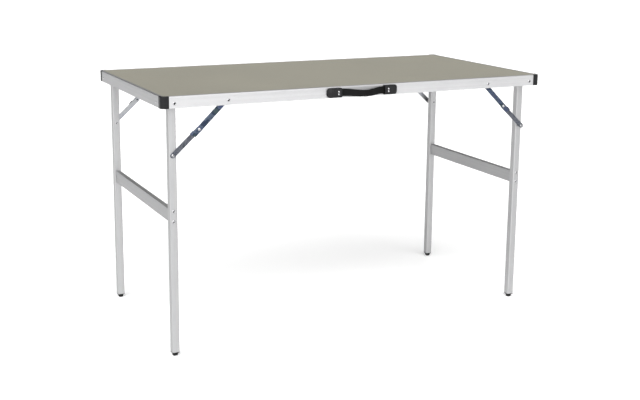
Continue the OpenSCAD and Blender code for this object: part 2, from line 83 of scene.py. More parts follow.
# Rails: a channel with a rounded bead on top, a lip over the panel and a shelf under it
RAIL_WALL = 1.6 * MM
BEAD_R = 2.4 * MM
LIP_WIDTH = 7.5 * MM
SHELF_REACH = 13 * MM
SHELF_T = 1.4 * MM
RETURN_WIDTH = 5 * MM
GROOVE_DROP = 7 * MM
GROOVE_HEIGHT = 1 * MM
GROOVE_DEPTH = 0.5 * MM
LIP_NOTCH = 4.2 * MM
LIP_NOTCH_ROUND = 0.1 * MM
STRIP_LAP = 0.01 * MM
MITRE_GAP = 0.05 * MM

# Panel
LAMINATE_EASE = 0.3 * MM
UNDERSIDE_EASE = 0.2 * MM
PANEL_MIN_ROUND = 1 * MM

# Corner caps
CAP_ARM = 22 * MM
CAP_ROUND = 12 * MM
CAP_WALL = 3 * MM
CAP_COVER = 5.1 * MM
CAP_COVER_T = 2.1 * MM
CAP_FOOT_EDGE = 1.8 * MM
CAP_COVER_EDGE = 0.8 * MM
CAP_TOP_EDGE = 2.8 * MM
CAP_TIP_EASE = 0.9 * MM
CAP_TIP_BANDS = 4
CAP_TURN_BANDS = 12
TONGUE_IN = 2.7 * MM
TONGUE_T = 2.7 * MM
TONGUE_RISE = 3.6 * MM
TONGUE_HEIGHT = 19.2 * MM
TONGUE_EASE = 0.6 * MM
CORNER_RIVET_IN = 44 * MM
SHORT_TONGUE_END = 30 * MM
LONG_TONGUE_END = CORNER_RIVET_IN + 8 * MM

# Leg frames
TUBE_ROUND = 3 * MM
TUBE_WALL = 1.5 * MM
TUBE_EASE = 0.4 * MM
BORE_MIN_ROUND = 0.6 * MM
CROSSBAR_ROUND = 2 * MM

# A plug in a leg's upper end: its edges, as (how far it grows, height over the tube)
LEG_PLUG_ROUND = 1.4 * MM
LEG_PLUG_RIM = 18 * MM
LEG_PLUG_STEM_EDGES = ((-0.6 * MM, -16 * MM), (0, -15 * MM), (0, 0))
LEG_PLUG_RIM_EDGES = ((0, 0), (0, 0.45 * MM), (-0.15 * MM, 0.65 * MM), (-0.6 * MM, 0.8 * MM))

# A foot: its round sole as (radius, height), the taper's end as (radius, height over the
# flange's underside), its flange's lower edge as (inset, height over that underside), and its
# flange's upper edge as (inset, drop)
FOOT_STEPS = 8
FOOT_FLANGE = 2 * MM
FOOT_SOLE = ((5.4 * MM, 0.0), (6.2 * MM, 0.05 * MM), (6.9 * MM, 0.5 * MM), (7.5 * MM, 1.3 * MM),
             (8.1 * MM, 3.6 * MM), (7.9 * MM, 3.9 * MM), (8.0 * MM, 4.4 * MM), (8.5 * MM, 4.7 * MM))
FOOT_TAPER = ((9.2 * MM, -0.8 * MM), (9.7 * MM, 0.0))
FOOT_FLANGE_EDGE = ((0.5 * MM, 0.0), (0.15 * MM, 0.15 * MM), (0.0, 0.5 * MM))
FOOT_TOP_EDGE = (0.3 * MM, 0.4 * MM)
FOOT_PLUG_EDGE = 1 * MM

# Rivets and pins, as (head radius, head thickness, bore as a share of the radius)
HINGE_HEAD = (4.6 * MM, 1.5 * MM, 0.55)
STAY_HEAD = (4.2 * MM, 1.5 * MM, 0.50)
KNEE_HEAD = (4.2 * MM, 1.4 * MM)
END_HEAD = (4.2 * MM, 1.5 * MM, 0.36)
CROSSBAR_HEAD = (4.6 * MM, 1.2 * MM, 0.42)
SMALL_HEAD = (3.2 * MM, 1.0 * MM)
HANDLE_HEAD = (2.7 * MM, 1.0 * MM)
TAIL = (4.2 * MM, 1.4 * MM)
HINGE_TAIL = (4.6 * MM, 1.4 * MM)

# Profiles as (share of the radius, share of the thickness): a bore and a head's rim from the
# middle outwards, and a tail from its seat to its middle. BORE_BANDS and DIMPLE_BANDS say how
# many bands from the middle are painted dark as shade.
BORE = ((0.1, 0.05), (0.5, 0.06), (0.96, 0.1), (1.0, 0.35), (1.05, 0.75))
BORE_BANDS = 3
BORE_LIP = 0.12
DOME_START, DOME_END, DOME_BANDS = 0.1, 0.985, 8
HEAD_RIM = ((1.0, 0.06), (0.98, 0.0))
CLENCHED_TAIL = ((0.97, 0.0), (1.00, 0.12), (0.97, 0.45), (0.87, 0.75), (0.68, 0.94),
                 (0.50, 1.00), (0.42, 0.80), (0.38, 0.55), (0.12, 0.50))
DIMPLE_BANDS = 2

# Shanks and bushes
HINGE_PIN_R = 3 * MM
STAY_PIN_R = 2.5 * MM
SMALL_SHANK_R = 2 * MM
HANDLE_SHANK_R = 1.6 * MM
SHANK_EDGE = 0.2 * MM
BUSH_WALL = 3 * MM
BUSH_EDGE = 0.3 * MM
CORNER_SHANK = RAIL_WALL + TONGUE_T + 1 * MM
CROSSBAR_SHANK = 30 * MM
CROSSBAR_RIVET_PITCH = 28 * MM
HANDLE_RIVET_IN = 11 * MM
HANDLE_RIVET_PITCH = 7 * MM

# Upper links: a web with a slanted knee end, a flange and a lug. The flange starts to rise
# FLANGE_START past the pivot and takes FLANGE_RUN, both in half widths of the web. Round the
# knee end's corner the web's low edge draws in and the flange drops, as shares of the inset.
UPPER_HALF_W = 7.2 * MM
WEB_T = 1.8 * MM
WEB_SLANT = 5 * MM
WEB_CORNER = 2 * MM
WEB_DRAW, FLANGE_DROP = 0.3, 0.8
ROUND_END_BANDS, CORNER_BANDS = 8, 6
KNEE_OVERLAP = 27 * MM
SLANT_RUN = 34 * MM
FLANGE_T = 1.2 * MM
FLANGE_H = 2 * MM
FLANGE_LEAST = 0.02 * MM
FLANGE_INNER_EDGE = 0.6 * MM
FLANGE_TOP_EDGE = 0.35 * MM
FLANGE_START, FLANGE_RUN, FLANGE_STEPS = 0.35, 0.9, 6
LUG_HALF_W = 9.03 * MM
LUG_LENGTH = 12 * MM
LUG_END_GAP = 1 * MM
LUG_ROOT = 1 * MM
LUG_SKIN = 0.05 * MM
LUG_EDGE = 0.4 * MM
LUG_BEND = 1.5 * MM

# Lower links, collars, and how squarely a link's face looks inwards to be plated paler
LOWER_HALF_W = 6.9 * MM
LINK_T = 2 * MM
LINK_EASE = 0.45 * MM
LINK_END_BANDS = 16
KNEE_COLLAR_R = 4 * MM
LEG_COLLAR_R = 5 * MM
LEG_COLLAR_EDGE = 0.4 * MM
FACING = 0.7

# Strap: the caps hold its ends, it narrows and sags to its middle, and it has ribbed grip pads.
# PAD_LIFT is what the plain strap lacks of a pad's thickness and height.
STRAP_SEAT = 4.5 * MM
STRAP_END_IN = 30 * MM
STRAP_SAG = 3 * MM
STRAP_WAIST = 0.12
STRAP_ROUND = 1.3 * MM
STRAP_END_EDGE = (0.8 * MM, 1 * MM)
STRAP_RUN_IN = 4 * MM
STRAP_STEPS = 170
SLOPE_STEP = 0.5 * MM
PAD_CENTRES = (-20 * MM, 0.0, 20 * MM)
PAD_HALF = 6.5 * MM
PAD_EDGE = 1.2 * MM
PAD_LIFT = (0.6 * MM, 0.9 * MM)
RIB_PITCH = 3.2 * MM
RIB_LOW, RIB_SWING = 0.72, 0.28

# Handle caps: a shell that is open at its inner end. The crown and the tip are shares of its
# depth, and its full section ends at HANDLE_STRAIGHT of the way to the rounded end.
HANDLE_WALL = 2.5 * MM
HANDLE_ROUND = 9 * MM
HANDLE_CROWN = 0.12
HANDLE_CROWN_ROUND = 30 * MM
HANDLE_EDGE = 4.2 * MM
HANDLE_BACK_EDGE = 0.4 * MM
HANDLE_MOUTH_EASE = 1.2 * MM
HANDLE_MOUTH_BANDS = 4
HANDLE_STRAIGHT = 0.6
HANDLE_TIP = 0.1
HANDLE_TIP_STEPS = 15
# The hollow from its end to its mouth, as (distance in, how much deeper and higher than the
# walls leave it, edge rounding, distance from the rail)
HANDLE_HOLLOW = ((STRAP_END_IN + 0.6 * MM, 0, 0.6 * MM, 2.4 * MM, 0.8 * MM),
                 (1.2 * MM, 0, 0.6 * MM, 2.4 * MM, 0.8 * MM),
                 (0.3 * MM, 0.5 * MM, 1.6 * MM, 2.8 * MM, 0.5 * MM))

# Studio
FLOOR_HALF = 30
FLOOR_SEGMENTS = 8
FLOOR_GLOW = 0.20
WORLD_DIM = 0.1
KEY_STRENGTH = 1.5
KEY_SPREAD = math.radians(70)
KEY_FROM = Vector((-0.5, -0.8, 1.2))
# Soft glows of the room: where each lies, the cosines at which it starts and is full, and
# its strength
GLOWS = ((Vector((-0.5, -0.85, 0.15)), 0.05, 0.85, 2.7),
         (Vector((0.65, 0.7, 0.2)), 0.55, 0.97, 0.36))

# Camera: its turn about Z, tip about X and roll about Y, in degrees, from a level look along Y
CAMERA_AT = (-1.4385, -2.8958, 1.1305)
CAMERA_TURN, CAMERA_TIP, CAMERA_ROLL = -26.24, -11.65, -0.54
CAMERA_SENSOR = 36
CAMERA_LENS = 60.18
CAMERA_SHIFT = (0.0046, -0.0701)


# ---------- outlines and solids ----------

def quarter(steps, first=0):
    """Angles that run up to a quarter turn."""
    return [math.pi / 2 * s / steps for s in range(first, steps + 1)]


def fillet(corners, steps=4):
    """A closed outline of (x, y, radius) corners; a radius of 0 leaves a corner as it is."""
    outline = []
    for k, (x, y, radius) in enumerate(corners):
        here = Vector((x, y))
        if not radius:
            outline.append(here)
            continue
        before = Vector(corners[k - 1][:2]) - here
        after = Vector(corners[(k + 1) % len(corners)][:2]) - here
        half = before.angle(after) / 2
        cut = min(radius / math.tan(half), CUT_LIMIT * min(before.length, after.length))
        before.normalize()
        after.normalize()
        if cut < WELD:
            outline += [here.copy() for _ in range(steps + 1)]
            continue
        centre = here + (before + after).normalized() * (cut / math.cos(half))
        start, end, turn = here + before * cut - centre, here + after * cut - centre, math.pi - 2 * half
        for t in (turn * s / steps for s in range(steps + 1)):
            outline.append(centre + (start * math.sin(turn - t) + end * math.sin(t)) / math.sin(turn))
    return outline


def rectangle(width, height, radius, steps=4):
    """A rectangle round the origin with rounded corners."""
    w, h = width / 2, height / 2
    return fillet([(-w, -h, radius), (w, -h, radius), (w, h, radius), (-w, h, radius)], steps)


def circle(radius, count=40):
    """A circle round the origin."""
    turns = [2 * math.pi * k / count for k in range(count)]
    return [Vector((radius * math.cos(a), radius * math.sin(a))) for a in turns]


def grow(outline, distance):
    """Moves an outline that runs anticlockwise outwards by a distance."""
    grown = []
    for k, here in enumerate(outline):
        a = (here - outline[k - 1]).normalized()
        b = (outline[(k + 1) % len(outline)] - here).normalized()
        normal = Vector((a.y + b.y, -a.x - b.x))
        grown.append(here + normal * distance / max(1 + a.dot(b), MITRE_LIMIT))
    return grown


def axes(origin, u, v, w):
    """Maps a section's point and a distance along it to the frame."""
    return lambda p, d: origin + u * p[0] + v * p[1] + w * d


def loft(bm, rings, closed=False, dark=0):
    """Skins rings with the same number of points, and caps the ends unless it is closed.

    The first bands, as many as dark says, take the piece's second material.
    """
    rows = [[bm.verts.new(p) for p in ring] for ring in rings]
    pairs = list(zip(rows, rows[1:]))
    if closed:
        pairs.append((rows[-1], rows[0]))
    else:
        bm.faces.new(rows[0]).material_index = 1 if dark else 0
        bm.faces.new(rows[-1])
    for k, (a, b) in enumerate(pairs):
        for i in range(len(a)):
            j = (i + 1) % len(a)
            bm.faces.new((a[i], a[j], b[j], b[i])).material_index = 1 if k < dark else 0


def sweep(bm, sections, place, closed=False, dark=0):
    """Skins (outline, distance) sections."""
    loft(bm, [[place(p, d) for p in outline] for outline, d in sections], closed, dark)


def lathe(bm, profile, place, closed=False, dark=0):
    """Turns a profile of (radius, distance along the axis) points."""
    sweep(bm, [(circle(r), d) for r, d in profile], place, closed, dark)


def eased(outline, low, high, ease, inside=False):
    """Sections of a prism from low to high, or of a hole, whose end edges are rounded."""
    shift = ease if inside else -ease
    start = [(grow(outline, shift * (1 - math.sin(t))), low + ease * (1 - math.cos(t)))
             for t in quarter(3)]
    end = [(section, low + high - d) for section, d in reversed(start)]
    return start + end


def prism(bm, outline, low, high, place, ease, hole=None):
    """A solid with one outline from low to high, and a hole right through it if one is given."""
    sections = eased(outline, low, high, ease)
    if hole:
        sections += reversed(eased(hole, low, high, ease, inside=True))
    sweep(bm, sections, place, closed=bool(hole))


def slab(bm, lo, hi, radius, ease):
    """A flat plate that fills a box, with rounded corners and eased edges."""
    middle = (lo + hi) / 2
    place = axes(Vector((middle.x, middle.y, 0)), X, Y, Z)
    prism(bm, rectangle(hi.x - lo.x, hi.y - lo.y, radius, FINE_STEPS), lo.z, hi.z, place, ease)


def tube(bm, lo, hi, along, radius):
    """A hollow tube that fills a box and is open at both ends."""
    middle = (lo + hi) / 2
    u, v = (X, Y) if along is Z else (X, Z)
    width, height = (hi - lo).dot(u), (hi - lo).dot(v)
    origin = u * middle.dot(u) + v * middle.dot(v)
    bore = rectangle(width - 2 * TUBE_WALL, height - 2 * TUBE_WALL,
                     max(radius - TUBE_WALL, BORE_MIN_ROUND), FINE_STEPS)
    prism(bm, rectangle(width, height, radius, FINE_STEPS), lo.dot(along), hi.dot(along),
          axes(origin, u, v, along), TUBE_EASE, bore)


def piece(name, bm, materials, body, slot, *nodes):
    """Turns a bmesh into a smooth-shaded piece that stands for CAD nodes."""
    bmesh.ops.remove_doubles(bm, verts=bm.verts, dist=WELD)
    bmesh.ops.dissolve_degenerate(bm, edges=bm.edges, dist=WELD)
    bmesh.ops.recalc_face_normals(bm, faces=bm.faces)
    mesh = bpy.data.meshes.new(name)
    bm.to_mesh(mesh)
    bm.free()
    mesh.polygons.foreach_set("use_smooth", [True] * len(mesh.polygons))
    mesh.set_sharp_from_angle(angle=SHARP_ANGLE)
    for material in materials if isinstance(materials, tuple) else (materials,):
        mesh.materials.append(material)
    obj = bpy.data.objects.new(name, mesh)
    bpy.context.collection.objects.link(obj)
    obj.modifiers.new("even shading", "WEIGHTED_NORMAL").keep_sharp = True
    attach(obj, body)
    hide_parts(*nodes)
    return obj


def refinish(node, material):
    """Gives a CAD node that keeps its shape a better material."""
    materials = frame["nodes"][node].data.materials
    materials.clear()
    materials.append(material)


def at(x, y, z):
    return Vector((x, y, z))


def middle_of(node):
    """The middle of a CAD node's box."""
    lo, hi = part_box(node)
    return (lo + hi) / 2


def faces(node, sy):
    """The outer and the inner Y of a node that lies at the front (sy = -1) or rear."""
    lo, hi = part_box(node)
    return (lo.y, hi.y) if sy < 0 else (hi.y, lo.y)


# ---------- materials ----------

class Finish:
    """A Principled material and short calls that add nodes to it."""

    def __init__(self, name, **sockets):
        self.material = bpy.data.materials.new(name)
        self.material.use_nodes = True
        self.tree = self.material.node_tree
        self.shader = self.tree.nodes["Principled BSDF"]
        for socket, value in sockets.items():
            self.shader.inputs[socket.replace("_", " ")].default_value = value
        self.place = self.tree.nodes.new("ShaderNodeTexCoord").outputs["Object"]

    def feed(self, target, value):
        """Links a node's output to a socket, or sets the socket to a plain value."""
        if isinstance(value, bpy.types.NodeSocket):
            self.tree.links.new(value, target)
        else:
            target.default_value = value

    def add(self, kind, output, **inputs):
        """Adds a node, feeds its named inputs and returns one output."""
        node = self.tree.nodes.new(kind)
        for socket, value in inputs.items():
            self.feed(node.inputs[socket.replace("_", " ")], value)
        return node.outputs[output]

    def noise(self, scale, detail=2, stretch=(1, 1, 1)):
        place = self.add("ShaderNodeMapping", "Vector", Vector=self.place, Scale=stretch)
        return self.add("ShaderNodeTexNoise", "Fac", Vector=place, Scale=scale, Detail=detail)

    def ramp(self, factor, *stops):
        """Colours along a factor, each stop as (position, (r, g, b))."""
        node = self.tree.nodes.new("ShaderNodeValToRGB")
        elements = node.color_ramp.elements
        for k, (position, colour) in enumerate(stops):
            element = elements[k] if k < 2 else elements.new(position)
            element.position = position
            element.color = (*colour, 1)
        self.tree.links.new(factor, node.inputs["Fac"])
        return node.outputs["Color"]

    def spread(self, factor, low, high):
        """A number that runs from low to high over the noise's usual range."""
        return self.add("ShaderNodeMapRange", "Result", Value=factor, From_Min=0.3,
                        From_Max=0.7, To_Min=low, To_Max=high)

    def bump(self, height, depth, strength, **under):
        """A surface normal from a height, over another one where Normal is given."""
        return self.add("ShaderNodeBump", "Normal", Height=height, Distance=depth,
                        Strength=strength, **under)

    def total(self, a, b):
        """The sum of two numbers."""
        node = self.tree.nodes.new("ShaderNodeMath")
        node.operation = "ADD"
        self.feed(node.inputs[0], a)
        self.feed(node.inputs[1], b)
        return node.outputs[0]

    def blend(self, mode, a, b):
        """Two colours mixed in full by a blend mode."""
        node = self.tree.nodes.new("ShaderNodeMix")
        node.data_type = "RGBA"
        node.blend_type = mode
        for socket, value in ((0, 1.0), (6, a), (7, b)):
            self.feed(node.inputs[socket], value)
        return node.outputs[2]

    def use(self, **sources):
        """Links outputs to the shader's sockets and returns the material."""
        for socket, source in sources.items():
            self.tree.links.new(source, self.shader.inputs[socket.replace("_", " ")])
        return self.material


def laminate_finish():
    """Matt taupe melamine: a fine print of specks over a faint cloud, and a fine grain."""
    f = Finish("laminate", Specular_IOR_Level=0.35)
    cloud = f.noise(5, 3)
    specks = f.noise(1400, 2)
    base = f.ramp(cloud, (0.3, (0.262, 0.250, 0.205)), (0.7, (0.284, 0.271, 0.222)))
    tone = f.ramp(specks, (0.35, (0.86, 0.86, 0.85)), (0.5, (1, 1, 1)), (0.68, (1.1, 1.1, 1.08)))
    grain = f.noise(2600, 1)
    return f.use(Base_Color=f.blend("MULTIPLY", base, tone),
                 Roughness=f.spread(cloud, 0.50, 0.58),
                 Normal=f.bump(grain, 0.02 * MM, 0.5))


def board_finish():
    """Raw fibreboard."""
    f = Finish("core_board", Specular_IOR_Level=0.2)
    fibres = f.noise(900, 4, (0.3, 0.3, 1))
    return f.use(Base_Color=f.ramp(fibres, (0.3, (0.22, 0.15, 0.09)), (0.7, (0.33, 0.24, 0.15))),
                 Roughness=f.spread(fibres, 0.75, 0.9),
                 Normal=f.bump(fibres, 0.08 * MM, 0.6))


def underside_finish():
    """Pale coated backing sheet with a faint calender grain."""
    f = Finish("underside_sheet", Specular_IOR_Level=0.4)
    cloud = f.noise(9, 3)
    grain = f.noise(700, 3, (0.15, 1, 1))
    tint = f.ramp(cloud, (0.3, (0.50, 0.50, 0.49)), (0.7, (0.55, 0.55, 0.54)))
    lines = f.ramp(grain, (0.35, (0.95, 0.95, 0.95)), (0.65, (1, 1, 1)))
    return f.use(Base_Color=f.blend("MULTIPLY", tint, lines),
                 Roughness=f.spread(grain, 0.42, 0.55),
                 Normal=f.bump(grain, 0.02 * MM, 0.5))


def aluminium_finish(name, along, bright, dull):
    """Satin anodised extrusion with die lines along one axis, 0 for X, 1 for Y or 2 for Z."""
    f = Finish(name, Metallic=1.0)
    stretch = tuple(0.004 if k == along else 1 for k in range(3))
    lines = f.noise(2600, 3, stretch)
    bands = f.noise(260, 2, stretch)
    cloud = f.noise(14, 3)
    grain = f.noise(5200, 1)
    tint = f.ramp(bands, (0.32, (dull, dull, dull * 1.01)),
                  (0.68, (bright, bright, bright * 1.01)))
    marks = f.ramp(cloud, (0.3, (0.95, 0.95, 0.955)), (0.7, (1, 1, 1)))
    under = f.bump(grain, 0.006 * MM, 0.6)
    return f.use(Base_Color=f.blend("MULTIPLY", tint, marks),
                 Roughness=f.total(f.spread(lines, 0.32, 0.39), f.spread(cloud, 0.15, 0.19)),
                 Normal=f.bump(lines, 0.008 * MM, 0.7, Normal=under))


def plastic_finish(name, colour, rough, shine, grain_scale, grain_depth):
    """Moulded black plastic: an eroded mould texture, and edges scuffed a little lighter."""
    f = Finish(name, Specular_IOR_Level=shine)
    cloud = f.noise(60, 3)
    grain = f.noise(grain_scale, 2)
    worn = f.add("ShaderNodeNewGeometry", "Pointiness")
    base = f.ramp(cloud, (0.3, tuple(0.85 * c for c in colour)), (0.7, colour))
    scuff = f.ramp(worn, (0.53, (0, 0, 0)), (0.64, (0.016, 0.016, 0.016)))
    return f.use(Base_Color=f.blend("ADD", base, scuff),
                 Roughness=f.spread(cloud, rough - 0.04, rough + 0.05),
                 Normal=f.bump(grain, grain_depth, 0.6))


def zinc_finish(name, stops, patch):
    """Passivated zinc: tints that drift in patches over a spangled metal."""
    f = Finish(name, Metallic=1.0)
    drift = f.noise(patch, 3, (1, 0.4, 1))
    spangle = f.noise(700, 3)
    tone = f.ramp(spangle, (0.3, (0.86, 0.87, 0.9)), (0.7, (1.12, 1.1, 1.08)))
    return f.use(Base_Color=f.blend("MULTIPLY", f.ramp(drift, *stops), tone),
                 Roughness=f.spread(spangle, 0.24, 0.36),
                 Normal=f.bump(spangle, 0.015 * MM, 0.5))


def rivet_finish():
    """Bright plated steel, a little scratched."""
    f = Finish("rivet_steel", Metallic=1.0)
    scratches = f.noise(1800, 3, (1, 0.2, 1))
    cloud = f.noise(220, 2)
    return f.use(Base_Color=f.ramp(cloud, (0.3, (0.36, 0.36, 0.37)), (0.7, (0.50, 0.50, 0.51))),
                 Roughness=f.spread(scratches, 0.14, 0.26),
                 Normal=f.bump(scratches, 0.01 * MM, 0.5))


def bore_shade_finish():
    """Painted shade in a hollow rivet's bore and a tail's dimple: a near-black, matt, mottled colour.
    """
    f = Finish("rivet_bore_painted_shade", Specular_IOR_Level=0.1)
    speckle = f.noise(1500, 3)
    return f.use(Base_Color=f.ramp(speckle, (0.3, (0.006, 0.006, 0.006)), (0.7, (0.016, 0.015, 0.014))),
                 Roughness=f.spread(speckle, 0.6, 0.85), Normal=f.bump(speckle, 0.05 * MM, 0.6))


UPPER_ZINC = ((0.30, (0.050, 0.072, 0.080)), (0.40, (0.026, 0.036, 0.066)),
              (0.48, (0.082, 0.104, 0.140)), (0.56, (0.048, 0.062, 0.122)),
              (0.62, (0.078, 0.092, 0.130)), (0.72, (0.050, 0.046, 0.074)))
LOWER_ZINC = ((0.30, (0.050, 0.058, 0.070)), (0.42, (0.125, 0.134, 0.152)),
              (0.50, (0.070, 0.074, 0.092)), (0.58, (0.130, 0.138, 0.158)),
              (0.70, (0.060, 0.066, 0.078)))
INNER_ZINC = ((0.30, (0.30, 0.31, 0.32)), (0.45, (0.36, 0.37, 0.38)),
              (0.58, (0.32, 0.33, 0.36)), (0.70, (0.28, 0.29, 0.30)))

laminate = laminate_finish()
board = board_finish()
backing = underside_finish()
long_rail_metal = aluminium_finish("rail_aluminium_x", 0, 0.56, 0.52)
# The end rails are the same extrusion as the long rails, toned darker as painted shade
short_rail_shaded_metal = aluminium_finish("rail_aluminium_y_shaded", 1, 0.47, 0.43)
leg_metal = aluminium_finish("tube_aluminium_z", 2, 0.44, 0.41)
crossbar_metal = aluminium_finish("tube_aluminium_y", 1, 0.40, 0.37)
corner_plastic = plastic_finish("corner_plastic", (0.008, 0.008, 0.009), 0.36, 0.20, 2200, 0.02 * MM)
handle_plastic = plastic_finish("handle_plastic", (0.011, 0.011, 0.012), 0.30, 0.18, 2600, 0.01 * MM)
strap_plastic = plastic_finish("strap_plastic", (0.007, 0.007, 0.007), 0.55, 0.05, 1300, 0.05 * MM)
foot_plastic = plastic_finish("foot_rubber", (0.010, 0.010, 0.010), 0.60, 0.15, 1700, 0.04 * MM)
upper_zinc = zinc_finish("zinc_steel_upper", UPPER_ZINC, 42)
lower_zinc = zinc_finish("zinc_steel_lower", LOWER_ZINC, 46)
inner_zinc = zinc_finish("zinc_steel_inner", INNER_ZINC, 30)
rivet_metal = rivet_finish()
# Hollow rivets: plated steel, with a near-black painted shade in their bores and dimples
hollow_rivet = (rivet_metal, bore_shade_finish())


# ---------- top ----------

def arc(x, y, radius, start, end, steps=8):
    """Plain corners along an arc."""
    turns = [start + (end - start) * k / steps for k in range(steps + 1)]
    return [(x + radius * math.cos(a), y + radius * math.sin(a), 0) for a in turns]


def rail_section(height, shelf_top):
    """The rail's section: x in from its outer face, y up from its lower edge."""
    lip, bead, groove = height - RAIL_WALL, height - BEAD_R, height - GROOVE_DROP
    step = BEAD_R - RAIL_WALL
    across = math.sqrt(BEAD_R ** 2 - step ** 2)
    return fillet(
        [(0, 0, SOFT), (RETURN_WIDTH, 0, SMALL), (RETURN_WIDTH, RAIL_WALL, SMALL),
         (RAIL_WALL, RAIL_WALL, SOFT), (RAIL_WALL, shelf_top - SHELF_T, SOFT),
         (SHELF_REACH, shelf_top - SHELF_T, SMALL), (SHELF_REACH, shelf_top, SMALL),
         (RAIL_WALL, shelf_top, SMALL)]
        + arc(BEAD_R, bead, BEAD_R, math.atan2(-across, -step), math.atan2(step, across))
        + [(LIP_WIDTH, lip, SMALL), (LIP_WIDTH, height, SOFT)]
        + arc(BEAD_R, bead, BEAD_R, math.pi / 2, math.pi)
        + [(0, groove + GROOVE_HEIGHT, HAIR), (GROOVE_DEPTH, groove + GROOVE_HEIGHT, HAIR),
           (GROOVE_DEPTH, groove, HAIR), (0, groove, HAIR)])


def rail(name, node, along, inward, material):
    """A rail between two caps, and the strips of its lip that run on to the mitres."""
    lo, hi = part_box(node)
    cap_lo, cap_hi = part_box("corner_cap_front_left")[0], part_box("corner_cap_rear_right")[1]
    face, cap_face = (lo, cap_lo) if inward.dot(X + Y) > 0 else (hi, cap_hi)
    place = axes(inward.dot(face) * inward + Z * lo.z, inward, Z, along)
    height = hi.z - lo.z
    shelf_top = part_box("underside_sheet")[0].z - lo.z
    low, high = cap_lo.dot(along), cap_hi.dot(along)
    cap_end = CAP_ARM + SEAT_GAP
    bm = bmesh.new()
    prism(bm, rail_section(height, shelf_top), low + cap_end, high - cap_end, place, HAIR)
    strip = fillet([(LIP_NOTCH, height - RAIL_WALL, LIP_NOTCH_ROUND),
                    (LIP_WIDTH, height - RAIL_WALL, SMALL),
                    (LIP_WIDTH, height, SOFT), (LIP_NOTCH, height, LIP_NOTCH_ROUND)])
    top_in = abs((face - cap_face).dot(inward))
    for end, away in ((low, 1), (high, -1)):
        butt = end + away * (cap_end - STRIP_LAP)
        loft(bm, [[place(p, butt) for p in strip],
                  [place(p, end + away * (p.x + top_in + MITRE_GAP)) for p in strip]])
    piece(name, bm, material, "tabletop", "rail_aluminium", node)


def corner_cap(name, node, sx, sy):
    """A moulded corner: a wall swept round the corner under a thin cover, with two tongues."""
    lo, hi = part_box(node)
    height = hi.z - lo.z
    cover = height - CAP_COVER_T
    corner = Vector((lo.x if sx < 0 else hi.x, lo.y if sy < 0 else hi.y, lo.z))
    across, back = -sx * X, -sy * Y
    section = fillet([(0, 0, CAP_FOOT_EDGE), (CAP_WALL, 0, SOFT), (CAP_WALL, cover, SOFT),
                      (CAP_COVER, cover, SMALL), (CAP_COVER, height, CAP_COVER_EDGE),
                      (0, height, CAP_TOP_EDGE)], FINE_STEPS)
    tips = [(grow(section, -CAP_TIP_EASE * (1 - math.sin(t))),
             CAP_ARM - CAP_TIP_EASE * (1 - math.cos(t))) for t in quarter(CAP_TIP_BANDS)]
    rings = [[corner + across * d + back * p.x + Z * p.y for p in outline] for outline, d in tips]
    for t in quarter(CAP_TURN_BANDS):
        rings.append([corner + across * (CAP_ROUND - (CAP_ROUND - p.x) * math.sin(t))
                      + back * (CAP_ROUND - (CAP_ROUND - p.x) * math.cos(t))
                      + Z * p.y for p in section])
    rings += [[corner + across * p.x + back * d + Z * p.y for p in outline]
              for outline, d in reversed(tips)]
    bm = bmesh.new()
    loft(bm, rings)
    tongue = rectangle(TONGUE_T, TONGUE_HEIGHT, SOFT)
    middle = Z * (TONGUE_RISE + TONGUE_HEIGHT / 2)
    inset = TONGUE_IN + TONGUE_T / 2
    prism(bm, tongue, CAP_ROUND, SHORT_TONGUE_END,
          axes(corner + middle + back * inset, back, Z, across), TONGUE_EASE)
    prism(bm, tongue, CAP_ROUND, LONG_TONGUE_END,
          axes(corner + middle + across * inset, across, Z, back), TONGUE_EASE)
    piece(name, bm, corner_plastic, "tabletop", "corner_plastic", node)


def make_top():
    """The panel's sheets and board, its four rails and its four corner caps."""
    for name, node, material, slot, ease in (
            ("laminate_sheet", "top_laminate", laminate, "laminate", LAMINATE_EASE),
            ("underside_panel", "underside_sheet", backing, "underside_sheet", UNDERSIDE_EASE)):
        bm = bmesh.new()
        lo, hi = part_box(node)
        radius = CAP_ROUND - (lo.x - cad_box[0][0])
        slab(bm, lo, hi, max(radius, PANEL_MIN_ROUND), ease)
        piece(name, bm, material, "tabletop", slot, node)
    refinish("core_board", board)
    rail("rail_front", "front_rail", X, Y, long_rail_metal)
    rail("rail_rear", "rear_rail", X, -Y, long_rail_metal)
    rail("rail_left", "left_rail", Y, X, short_rail_shaded_metal)
    rail("rail_right", "right_rail", Y, -X, short_rail_shaded_metal)
    for side, sx in SIDES:
        for row, sy in ROWS:
            corner_cap(f"cap_{row}_{side}", f"corner_cap_{row}_{side}", sx, sy)


# ---------- rivets, pins and bushes ----------

def head_profile(radius, height, hollow=0.0):
    """A rivet's head from its middle outwards: a dome, or a rolled ring round a bore."""
    start, inner = DOME_START, []
    if hollow:
        bore = hollow * radius
        inner = [(r * bore, h * height) for r, h in BORE]
        start = hollow + BORE_LIP
    dome = [start + (DOME_END - start) * k / DOME_BANDS for k in range(DOME_BANDS + 1)]
    return (inner + [(r * radius, height * math.sqrt(1 - r * r) / math.sqrt(1 - start * start))
                     for r in dome] + [(r * radius, h * height) for r, h in HEAD_RIM])


def tail_profile(radius, height, seat):
    """A clenched tail from its seat, a distance along the axis, to its middle."""
    return [(r * radius, seat + h * height) for r, h in CLENCHED_TAIL]


def pin(bm, seat, outward, head, shank_r, length, tail=None):
    """A rivet or pin on a level axis: its head sits at seat and its shank runs inwards."""
    other = outward.cross(Z)
    place = axes(seat, other, outward.cross(other), outward)
    profile = head_profile(*head) + [(shank_r, 0.0)]
    if tail:
        profile += [(shank_r, -length)]
        profile += [(r, -d) for r, d in tail_profile(*tail, length)]
    else:
        profile += [(shank_r, SHANK_EDGE - length), (shank_r - SHANK_EDGE, -length)]
    # On hollow heads the bands round the middle take the second material, a painted shade in the bore
    lathe(bm, profile, place, dark=BORE_BANDS if len(head) > 2 else 0)


